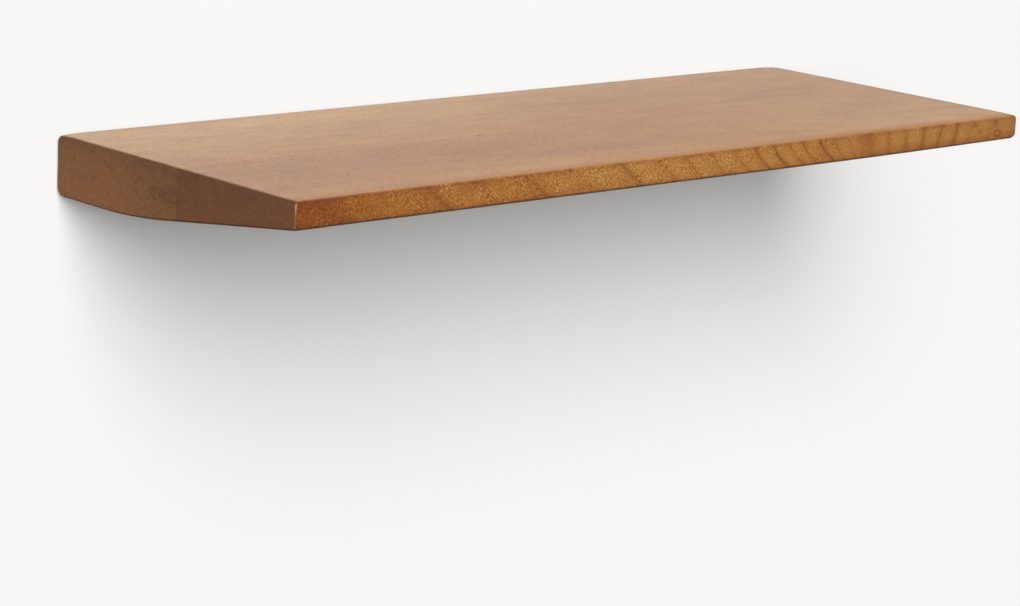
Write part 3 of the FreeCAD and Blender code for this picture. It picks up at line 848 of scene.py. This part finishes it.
def wood_material(name, end, shift, depths, grain, heart, highlight_strength=0, raw=False):
    """Oiled wood with satin sheen: long grain, edge and end grain chosen by which way the surface faces.

    Depths are the extra stain at the left and at the right, grain and heart the settings of the figure,
    highlight_strength how bright the highlight painted on the upright front arrises is, and raw leaves the
    inside of the rear board unfinished.
    """
    make_node_groups()
    sizes, look = bpy.context.scene.shelf_boards, bpy.context.scene.shelf_wood
    material, tree, shader = new_material(name)
    where = in_millimetres(tree)
    x, y, z = split(where)
    along, below_top, above = x + 500 * sizes.length, 1000 * sizes.top - z, rise(z, 3, 6)
    shares = use(tree, "face_shares", Normal=Node(tree, "ShaderNodeTexCoord")["Normal"])
    flat, edge, on_end = shares["Flat"], shares["Edge"], shares["End"]
    long_grain = use(tree, "long_grain", Vector=where + shift, Texture=rise(x, -290, 200, 1.55, 0.6), **grain)
    edge_rings = use(tree, "edge_rings", Along=along, Below_Top=below_top, Length=1000 * sizes.length)
    end_grain = use(tree, "end_grain", Vector=where, Below_Top=below_top, **heart)

    face_depth = (
        rise(x, -280, 250, *depths) + long_grain["Depth"] + figure(x, y) * above + rise(z, 3, 6, -0.10, 0)
        + rise(y, -185, -226, 0, -0.11) + shares["Arris"] * 0.08)
    depth = Node(tree, "ShaderNodeMix", {0: edge, 2: face_depth, 3: edge_rings["Depth"]})[0]
    edge_oil = rise(along, 5, 225, 2.1, 0.9) + exponential(along * -0.04) * 2 + rise(along, 430, 590, 0, -0.4)
    top_oil = (
        rise(x, 60, 290, 1, 0) * rise(y, -40, -150, 0.40, 1.20) + rise(y, -190, -224, 0, 0.7)
        + rise(y, -216, -227) * rise(x, 60, 160, 0.4, 1.1))
    oil = edge * edge_oil + flat * rise(z, 3, 6, 2.2, 0) + flat * above * top_oil
    tint = use(tree, "stain", Bare=(*look.bare, 1), Stain=(*look.stain, 1), Depth=depth)["Colour"]
    tint = use(tree, "stain", Bare=tint, Stain=(*look.edge, 1), Depth=oil)["Colour"]
    tint = mixed(on_end, tint, toned((*end,), end_grain["Tone"]))
    # Painted shade: darker on the Outline roundings, on the top along the wall, and round the right end.
    rim = flat * highest(rise(y, -8, -2.5) * rise(x, -150, 150, 0.6, 1.1), rise(x, 299.5, 303.5))
    tint = toned(tint, 1 - highest(shares["Outline"], rim) * 0.45)
    # Painted highlight on the upright front arrises, brightest at the top and fading downwards.
    rubbed = shares["Upright Arris"] * rise(below_top, 1, 9, highlight_strength, 0.06 * highlight_strength)
    tint = mixed(rubbed, tint, (*look.arris_highlight, 1))
    if raw:
        tint = mixed(inside_mask(x, y, z), tint, toned((*look.raw,), end_grain["Tone"]))
    tint = toned(tint, 1 - Node(tree, "ShaderNodeLightPath")["Is Diffuse Ray"] * 0.85)

    pores = flat * long_grain["Pores"] + edge * edge_rings["Pores"] + on_end * end_grain["Pores"]
    dull = flat * (
        rise(x, 0, 220, 1, 0) * rise(y, -20, -150, 0.010, 0.038)
        + rise(y, -217, -227) * rise(x, 60, 160, 0.05, 0.13))
    outline = shares["Outline"] * on_end
    rough = 0.40 + dull + pores * 0.15 + on_end * 0.12 - shares["Arris"] * 0.06 + outline * 0.5
    normal = bumped(-pores, 0.5, 0.04 * MM)
    feed(shader, {"Base Color": tint, "IOR": OIL_IOR, "Roughness": rough, "Normal": normal})
    return material


def metal_material(name, base, metallic, roughness, bump_scale, bump_size):
    """A finish with soft changes of gloss and a fine surface texture, made once."""
    if name in bpy.data.materials:
        return bpy.data.materials[name]
    material, tree, shader = new_material(name)
    where = in_millimetres(tree)
    patches = spots(where, (12.5, 12.5, 12.5))
    feed(shader, {
        "Base Color": toned(base, 1 + patches * 0.06), "Metallic": metallic,
        "Roughness": roughness + patches * 0.05, "Normal": bumped(noise(where, bump_scale), 0.6, bump_size)})
    return material


def coat_material():
    """The bracket's powder coat."""
    return metal_material("powder_coat", (0.028, 0.028, 0.030), 0, 0.42, 2.2, 0.03 * MM)


def rod_places(hardware):
    """Names and places of the three rods along the wall."""
    return {"left": (-hardware.rod_spacing, 0, 0), "middle": (0, 0, 0), "right": (hardware.rod_spacing, 0, 0)}


def lock_places(hardware, height=0.0):
    """Names and places of the two locking screws."""
    return {"left": (-hardware.rod_spacing, -hardware.lock_inset, height),
            "right": (hardware.rod_spacing, -hardware.lock_inset, height)}


def board_cutters(hardware):
    """Shapes of the plate's recess, the three blind bores and the two insert holes."""
    margin, room = hardware.recess_margin, hardware.recess_room
    depth = hardware.plate_thickness + room
    radius, mouth = hardware.rod_radius + hardware.bore_clearance, hardware.mouth_radius
    end = hardware.rod_tip + hardware.bore_room
    point = end + radius / math.tan(hardware.drill_point / 2)
    bore = [
        (0, depth - room / 2), (mouth, depth - room / 2), (mouth, depth), (radius, depth + mouth - radius),
        (radius, end), (0, point)]
    chamfer, hole = hardware.hole_chamfer, hardware.insert_hole
    hole_end = -REAR_LOW.z - hardware.rod_radius / 2
    insert_hole = [
        (0, -2 * chamfer), (hole + 3 * chamfer, -2 * chamfer), (hole, chamfer), (hole, hole_end),
        (0, hole_end)]
    return [
        plate_object("recess_cutter", margin, hardware.plate_corner + margin, depth, -depth),
        *(turned_object("bore_cutter", bore, place, FROM_WALL) for place in rod_places(hardware).values()),
        *(turned_object("hole_cutter", insert_hole, place, UPWARDS, 48)
          for place in lock_places(hardware, REAR_LOW.z).values())]


def plate_cutters(hardware):
    """Through holes for the rods' spigots, and countersunk holes for the wall screws."""
    face, past = hardware.plate_thickness, 2 * hardware.plate_thickness
    hole = hardware.spigot_radius + hardware.fit_gap
    spigot = [(0, -past), (hole, -past), (hole, past), (0, past)]
    head, shank = hardware.screw_head, hardware.screw_hole
    screw = [
        (0, -past), (shank, -past), (shank, face - head + shank), (head, face), (head + past, face + past),
        (0, face + past)]
    rods = rod_places(hardware).values()
    return [
        *(turned_object("spigot_cutter", spigot, place, FROM_WALL) for place in rods),
        *(turned_object("wall_screw_cutter", screw, (side * spacing, 0, 0), FROM_WALL)
          for spacing in (hardware.stud_spacing, hardware.anchor_spacing) for side in (-0.5, 0.5))]


class ShelfRearBoard(bpy.types.Operator):
    """Makes the thick board at the wall, with its recess, bores and insert holes"""

    bl_idname = "shelf.rear_board"
    bl_label = "Rear Board"

    def execute(self, context):
        scene = context.scene
        piece = layered_object("rear_board_wood", board_layers(scene.shelf_boards, rear_outline))
        cut_away(piece, board_cutters(scene.shelf_bracket))
        material = wood_material(
            "oiled_wood_rear", scene.shelf_wood.rear_end, shift=(0, 0, 0), depths=(-0.02, 0.06), raw=True,
            # Pale Band sets how much painted light lies near the wall.
            grain={"Arch_X": -250, "Arch_Y": -98, "Ring_Width": 15, "Ring_Depth": 0.07, "Pale_Band": 0.15},
            heart={"Heart_Y": -112, "Heart_Z": 0, "Ring_Width": 2.6})
        finished(piece, "shelf", ["rear_board"], material)
        return {"FINISHED"}


class ShelfFrontBoard(bpy.types.Operator):
    """Makes the thin board at the front"""

    bl_idname = "shelf.front_board"
    bl_label = "Front Board"

    def execute(self, context):
        scene = context.scene
        piece = layered_object("front_board_wood", board_layers(scene.shelf_boards, front_outline))
        material = wood_material(
            "oiled_wood_front", scene.shelf_wood.front_end, shift=(310, 57, 23), depths=(0.12, 0.02),
            highlight_strength=0.95, grain={"Arch_X": 200, "Arch_Y": -130, "Ring_Width": 19, "Ring_Depth": 0.025},
            heart={"Heart_Y": -160, "Heart_Z": -40, "Ring_Width": 3.4})
        finished(piece, "shelf", ["front_board"], material)
        return {"FINISHED"}


class ShelfWallPlate(bpy.types.Operator):
    """Makes the flat bar that is screwed to the wall"""

    bl_idname = "shelf.wall_plate"
    bl_label = "Wall Plate"

    def execute(self, context):
        hardware = context.scene.shelf_bracket
        piece = plate_object("wall_plate_bar", 0, hardware.plate_corner, PLATE_HIGH.y, PLATE_LOW.y, 0.5 * MM)
        cut_away(piece, plate_cutters(hardware))
        finished(piece, "bracket", ["wall_plate"], coat_material())
        return {"FINISHED"}


class ShelfRods(bpy.types.Operator):
    """Makes the three rods that carry the shelf, each with a spigot in the plate and a chamfered tip"""

    bl_idname = "shelf.rods"
    bl_label = "Rods"

    def execute(self, context):
        hardware = context.scene.shelf_bracket
        spigot, rod, face, tip = (
            hardware.spigot_radius, hardware.rod_radius, hardware.plate_thickness, hardware.rod_tip)
        ease, chamfer = 0.3 * MM, hardware.rod_chamfer
        shoulder, chamfer_start = face + ease, tip - chamfer - ease
        a = np.radians(np.linspace(0, 45, 5))[:, None]
        straight = np.linspace(shoulder, chamfer_start, 11)[1:-1, None]
        profile = [
            (0, 0), (spigot - ease, 0), (spigot, ease), (spigot, face), (rod - ease, face), (rod, shoulder),
            (rod, straight), (rod - 3 * ease * (1 - np.cos(a)), chamfer_start + 3 * ease * np.sin(a)),
            (rod - chamfer + ease, tip - ease), (rod - chamfer - ease, tip), (0, tip)]
        for word, place in rod_places(hardware).items():
            piece = turned_object(f"rod_{word}_bar", profile, place, FROM_WALL, 96)
            finished(piece, "bracket", [f"rod_{word}"], coat_material())
        return {"FINISHED"}


class ShelfWelds(bpy.types.Operator):
    """Makes the slightly hollow weld beads round the rods, with overlapping scales"""

    bl_idname = "shelf.welds"
    bl_label = "Welds"

    def execute(self, context):
        hardware = context.scene.shelf_bracket
        steps = 12 * hardware.weld_scales
        a = round_angles(steps)
        b = np.radians(np.linspace(0, 90, 13))[:, None]
        scale_height = np.sqrt(np.mod(hardware.weld_scales * a / (2 * np.pi) + 0.45 * np.sin(2 * b), 1.0))
        leg = hardware.weld_leg * (0.90 + 0.10 * scale_height * np.sin(2 * b))
        face, corner = hardware.plate_thickness, hardware.rod_radius + hardware.fit_gap
        hollow = 1.25
        bead = (corner + leg * np.cos(b)**hollow, face + leg * np.sin(b)**hollow)
        profile = [(corner, face), bead, (corner, face)]
        for word, place in rod_places(hardware).items():
            piece = turned_object(f"weld_{word}_bead", profile, place, FROM_WALL, steps)
            finished(piece, "bracket", [f"weld_{word}"], coat_material())
        return {"FINISHED"}


class ShelfLockInserts(bpy.types.Operator):
    """Makes the knurled and threaded brass inserts in the underside"""

    bl_idname = "shelf.lock_inserts"
    bl_label = "Inserts"

    def execute(self, context):
        hardware = context.scene.shelf_bracket
        low, high = (corner.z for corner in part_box("lock_insert_left"))
        steps, pitch, ease, a = THREAD_STEPS, hardware.lock_pitch, 0.25 * MM, round_angles(THREAD_STEPS)
        bore, outer = hardware.lock_radius + hardware.fit_gap, hardware.insert_radius
        up = np.linspace(low + ease, high - 2 * ease, 46)[:, None]
        share_up = (up - low) / (high - low)
        band = (np.abs(share_up - 0.30) < 0.19) | (np.abs(share_up - 0.74) < 0.16)
        ridge = np.abs(np.mod(a / (2 * np.pi) * steps / 3, 1.0) - 0.5) * 2
        knurl_depth, groove_depth, mouth = 0.28 * MM, 0.42 * MM, 0.55 * MM
        knurled = outer - np.where(band, knurl_depth * ridge, groove_depth)
        down = np.linspace(high - ease, low + ease, 85)[:, None]
        fade = np.clip(np.minimum(high - down, down - low) / mouth - 0.4, 0, 1)
        thread = bore - hardware.thread_depth * thread_wave(down + pitch / 2, a, pitch) * fade
        profile = [
            (outer - 2 * ease, low), (outer - ease, low + ease / 2), (knurled, up), (outer - 3 * ease, high),
            (bore + ease, high), (thread, down), (bore + 1.4 * ease, low), (outer - 2 * ease, low)]
        brass = metal_material("machined_brass", (0.72, 0.50, 0.22), 1, 0.28, 1.5, 0.01 * MM)
        for word, place in lock_places(hardware).items():
            piece = turned_object(f"lock_insert_{word}_brass", profile, place, UPWARDS, steps)
            finished(piece, "shelf", [f"lock_insert_{word}"], brass)
        return {"FINISHED"}


class ShelfLockScrews(bpy.types.Operator):
    """Makes the set screws that lock the shelf on its outer rods"""

    bl_idname = "shelf.lock_screws"
    bl_label = "Locking Screws"

    def execute(self, context):
        hardware = context.scene.shelf_bracket
        low, high = (corner.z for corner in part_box("lock_screw_left"))
        pitch, rim, a = hardware.lock_pitch, 0.2 * MM, round_angles(THREAD_STEPS)
        crest, tip = hardware.lock_radius, 1.0 * MM
        socket, floor = hexagon_radius(a, hardware.socket_flats), low + hardware.socket_depth
        up = np.linspace(low, high, 101)[:, None]
        thread = crest - hardware.thread_depth * (1 - thread_wave(up, a, pitch))
        pointed = np.minimum(crest - 2 * rim + (up - low), crest - tip + (high - up))
        profile = [
            (0, floor + 0.7 * MM), (socket, floor), (socket, low + rim), (socket + rim, low),
            (np.minimum(thread, pointed), up), (0, high)]
        zinc = metal_material("zinc_plate", (0.50, 0.50, 0.52), 1, 0.34, 1.5, 0.01 * MM)
        for word, place in lock_places(hardware).items():
            piece = turned_object(f"lock_screw_{word}_steel", profile, place, UPWARDS, THREAD_STEPS)
            finished(piece, "shelf", [f"lock_screw_{word}"], zinc)
        return {"FINISHED"}


def plane_object(name, corners, tint):
    """A rectangle of the stage, anticlockwise from its front, in matt paint that is clear from behind."""
    mesh = bpy.data.meshes.new(name)
    mesh.from_pydata(corners, [], [(0, 1, 2, 3)])
    material, tree, shader = new_material(name + "_paint")
    tree.nodes.remove(shader)
    behind = Node(tree, "ShaderNodeNewGeometry")["Backfacing"]
    paint = Node(tree, "ShaderNodeBsdfDiffuse", {"Color": (*tint, 1)})[0]
    clear = Node(tree, "ShaderNodeBsdfTransparent")[0]
    both = Node(tree, "ShaderNodeMixShader", {0: behind, 1: paint, 2: clear})[0]
    feed(tree.nodes["Material Output"], {"Surface": both})
    mesh.materials.append(material)
    made = new_object(name, mesh)
    made.visible_diffuse = False
    return made


def light_the_world(stage):
    """White surroundings for the eye, dimmer in gloss below the horizon, that give no other light."""
    world = bpy.data.worlds.new("studio")
    world.use_nodes = True
    world.cycles.sampling_method = "NONE"
    bpy.context.scene.world = world
    tree = world.node_tree
    rays = Node(tree, "ShaderNodeLightPath")
    x, _, z = split(Node(tree, "ShaderNodeTexCoord")["Generated"])
    height, side = rise(z, -0.25, 0.12, stage.gloss_below, 1), rise(x, 0.54, 0.76, stage.gloss_left, 0.95)
    unbounced = rays["Diffuse Depth"].maths("LESS_THAN", 0.5)
    gloss = rays["Is Glossy Ray"] * unbounced * height * side
    strength = rays["Is Camera Ray"] + rays["Is Transmission Ray"] + gloss
    light = Node(tree, "ShaderNodeBackground", {"Color": (1, 1, 1, 1), "Strength": strength})[0]
    feed(tree.nodes["World Output"], {"Surface": light})


def add_camera(stage):
    """The camera at the photographed angle: it looks forward, with its roll about that direction."""
    data = bpy.data.cameras.new("camera")
    data.lens = stage.lens
    data.sensor_width = 36
    data.sensor_fit = "HORIZONTAL"
    data.clip_end = 50
    camera = new_object("camera", data)
    turn, tilt = stage.turn, -stage.tilt
    forward = Vector((math.sin(turn) * math.cos(tilt), math.cos(turn) * math.cos(tilt), math.sin(tilt)))
    level_right = forward.cross(Vector((0, 0, 1))).normalized()
    level_up = level_right.cross(forward)
    right = math.cos(stage.roll) * level_right + math.sin(stage.roll) * level_up
    up = math.cos(stage.roll) * level_up - math.sin(stage.roll) * level_right
    place = Matrix((right, up, -forward)).transposed().to_4x4()
    place.translation = (stage.camera_x, stage.camera_y, stage.camera_z)
    camera.matrix_world = place
    bpy.context.scene.camera = camera


def add_lamp(name, level, towards, width, lit=None, shadows=True):
    """A far lamp that fills an angle, whose level is the brightness of white paper that faces it."""
    data = bpy.data.lights.new(name, "SUN")
    data.energy = math.pi * level
    data.angle = width
    data.use_shadow = shadows
    lamp = new_object(name, data)
    lamp.rotation_mode = "QUATERNION"
    lamp.rotation_quaternion = Vector(towards).to_track_quat("Z", "Y")
    lamp.visible_glossy = False
    lamp.light_linking.receiver_collection = lit


def group_of(name, objects):
    """A collection for lamps that light some objects only."""
    made = bpy.data.collections.new(name)
    for thing in objects:
        made.objects.link(thing)
    return made


# Weak lamps for the shelf alone: level and the direction that each stands in.
SHELF_LAMPS = {
    "above": (0.20, (0, 0, 1)),
    "below": (0.17, (0, 0, -1)),
    "left": (0.15, (-1, 0, 0)),
    "right": (0.25, (1, 0, 0)),
    "behind": (0.30, (0, 1, 0)),
}
SHELF_LAMP_WIDTH = math.radians(120)


def direction(turn, height):
    """The way to a place in the room, turned to the left of straight in front and above level."""
    level = math.cos(height)
    return -math.sin(turn) * level, -math.cos(turn) * level, math.sin(height)


def add_lamps(stage, scenery):
    """A key lamp for all, a shadowless lamp for the wall and the floor, and broad lamps for the shelf."""
    shelf = [thing for thing in bpy.context.scene.objects if thing.type == "MESH" and thing not in scenery]
    lit_scenery, lit_shelf = group_of("lit_scenery", scenery), group_of("lit_shelf", shelf)
    add_lamp("key", stage.key_level, direction(stage.key_turn, stage.key_height), stage.key_width)
    in_front = direction(0, stage.wall_height)
    add_lamp("wall_lamp", stage.wall_level, in_front, 0, lit_scenery, shadows=False)
    for name, (level, towards) in SHELF_LAMPS.items():
        add_lamp(name, level, towards, SHELF_LAMP_WIDTH, lit_shelf)


class ShelfStage(bpy.types.Operator):
    """Makes the wall, the floor, the camera and the light"""

    bl_idname = "shelf.stage"
    bl_label = "Stage"

    def execute(self, context):
        stage = context.scene.shelf_stage
        back, left, right, high, low, front = 0.5 * MM, -3.0, 3.0, 2.0, -stage.floor_drop, -4.0
        wall = plane_object(
            "wall", [(left, back, low), (right, back, low), (right, back, high), (left, back, high)],
            stage.wall)
        wall.visible_glossy = False
        wall.visible_shadow = False
        floor = plane_object(
            "floor", [(left, front, low), (right, front, low), (right, back, low), (left, back, low)],
            stage.floor)
        light_the_world(stage)
        add_lamps(stage, [wall, floor])
        add_camera(stage)
        context.scene.view_settings.view_transform = "Standard"
        return {"FINISHED"}


STEPS = (
    ShelfRearBoard, ShelfFrontBoard, ShelfWallPlate, ShelfRods, ShelfWelds, ShelfLockInserts, ShelfLockScrews,
    ShelfStage)
GROUPS = {
    "shelf_boards": ShelfBoardSizes,
    "shelf_bracket": ShelfBracketSizes,
    "shelf_wood": ShelfWoodLook,
    "shelf_stage": ShelfStageLook,
}


class ShelfPanel(bpy.types.Panel):
    """Settings and steps of the shelf."""

    bl_idname = "VIEW3D_PT_shelf"
    bl_label = "Wall Shelf"
    bl_space_type = "VIEW_3D"
    bl_region_type = "UI"
    bl_category = "Shelf"

    def draw(self, context):
        for word, group in GROUPS.items():
            box = self.layout.box()
            for name in group.__annotations__:
                box.prop(getattr(context.scene, word), name)
        for step in STEPS:
            self.layout.operator(step.bl_idname)


def register():
    """Adds the classes and the scene's settings to Blender."""
    for kind in (*GROUPS.values(), *STEPS, ShelfPanel):
        bpy.utils.register_class(kind)
    for word, group in GROUPS.items():
        setattr(bpy.types.Scene, word, PointerProperty(type=group))


def unregister():
    """Takes them out again."""
    for word in GROUPS:
        delattr(bpy.types.Scene, word)
    for kind in (ShelfPanel, *STEPS, *GROUPS.values()):
        bpy.utils.unregister_class(kind)


def main():
    """Builds every piece and the stage."""
    register()
    bpy.ops.shelf.rear_board()
    bpy.ops.shelf.front_board()
    bpy.ops.shelf.wall_plate()
    bpy.ops.shelf.rods()
    bpy.ops.shelf.welds()
    bpy.ops.shelf.lock_inserts()
    bpy.ops.shelf.lock_screws()
    bpy.ops.shelf.stage()


if __name__ == "__main__":
    main()
